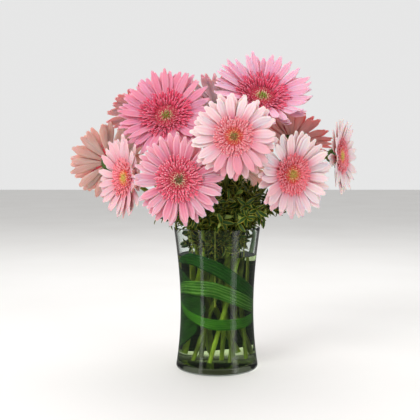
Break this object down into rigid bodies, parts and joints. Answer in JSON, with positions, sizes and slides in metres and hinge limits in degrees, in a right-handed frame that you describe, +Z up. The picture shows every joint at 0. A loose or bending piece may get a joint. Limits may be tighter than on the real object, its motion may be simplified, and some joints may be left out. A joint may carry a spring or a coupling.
{
  "type": "vase of gerberas",
  "caption": "Bouquet of pink gerberas with dark small-leaved foliage, standing in water in a flared clear glass vase with strap leaves and a broad lining leaf wound inside it.",
  "frame": {"origin": "centre of the vase's underside, on the surface it stands on", "axes": "+Z up along the vase's axis, the bouquet's front faces -Y, +X to the right of someone looking at the front"},
  "size_m": [0.4317, 0.2526, 0.4556],
  "materials": {
    "vase_glass": "polished",
    "water": "polished",
    "stem": "satin",
    "calyx": "matte",
    "petal_orchid": "matte",
    "petal_pink": "matte",
    "petal_blush": "matte",
    "disc_florets": "matte",
    "strap_leaf": "satin",
    "foliage": "satin",
    "grass": "satin"
  },
  "bodies": {
    "root": {"vase": "vase_glass", "water": "water", "gerbera_front_left_stem": "stem", "gerbera_front_left_calyx": "calyx", "gerbera_front_left_ray_florets": "petal_pink", "gerbera_front_left_disc": "disc_florets", "gerbera_centre_stem": "stem", "gerbera_centre_calyx": "calyx", "gerbera_centre_ray_florets": "petal_blush", "gerbera_centre_disc": "disc_florets", "gerbera_front_right_stem": "stem", "gerbera_front_right_calyx": "calyx", "gerbera_front_right_ray_florets": "petal_blush", "gerbera_front_right_disc": "disc_florets", "gerbera_top_left_stem": "stem", "gerbera_top_left_calyx": "calyx", "gerbera_top_left_ray_florets": "petal_orchid", "gerbera_top_left_disc": "disc_florets", "gerbera_top_right_stem": "stem", "gerbera_top_right_calyx": "calyx", "gerbera_top_right_ray_florets": "petal_orchid", "gerbera_top_right_disc": "disc_florets", "gerbera_left_stem": "stem", "gerbera_left_calyx": "calyx", "gerbera_left_ray_florets": "petal_blush", "gerbera_left_disc": "disc_florets", "gerbera_far_left_stem": "stem", "gerbera_far_left_calyx": "calyx", "gerbera_far_left_ray_florets": "petal_blush", "gerbera_far_left_disc": "disc_florets", "gerbera_far_right_stem": "stem", "gerbera_far_right_calyx": "calyx", "gerbera_far_right_ray_florets": "petal_blush", "gerbera_far_right_disc": "disc_florets", "gerbera_back_right_stem": "stem", "gerbera_back_right_calyx": "calyx", "gerbera_back_right_ray_florets": "petal_pink", "gerbera_back_right_disc": "disc_florets", "gerbera_back_left_stem": "stem", "gerbera_back_left_calyx": "calyx", "gerbera_back_left_ray_florets": "petal_pink", "gerbera_back_left_disc": "disc_florets", "gerbera_back_top_stem": "stem", "gerbera_back_top_calyx": "calyx", "gerbera_back_top_ray_florets": "petal_orchid", "gerbera_back_top_disc": "disc_florets", "gerbera_back_low_stem": "stem", "gerbera_back_low_calyx": "calyx", "gerbera_back_low_ray_florets": "petal_blush", "gerbera_back_low_disc": "disc_florets", "strap_leaf_ribbed": "strap_leaf", "strap_leaf_upper": "strap_leaf", "strap_leaf_lower": "strap_leaf", "lining_leaf": "strap_leaf", "foliage_sprig_front": "foliage", "foliage_sprig_front_right": "foliage", "foliage_sprig_left": "foliage", "foliage_sprig_back_left": "foliage", "foliage_sprig_back_right": "foliage", "grass_blade": "grass"}
  },
  "joints": []
}
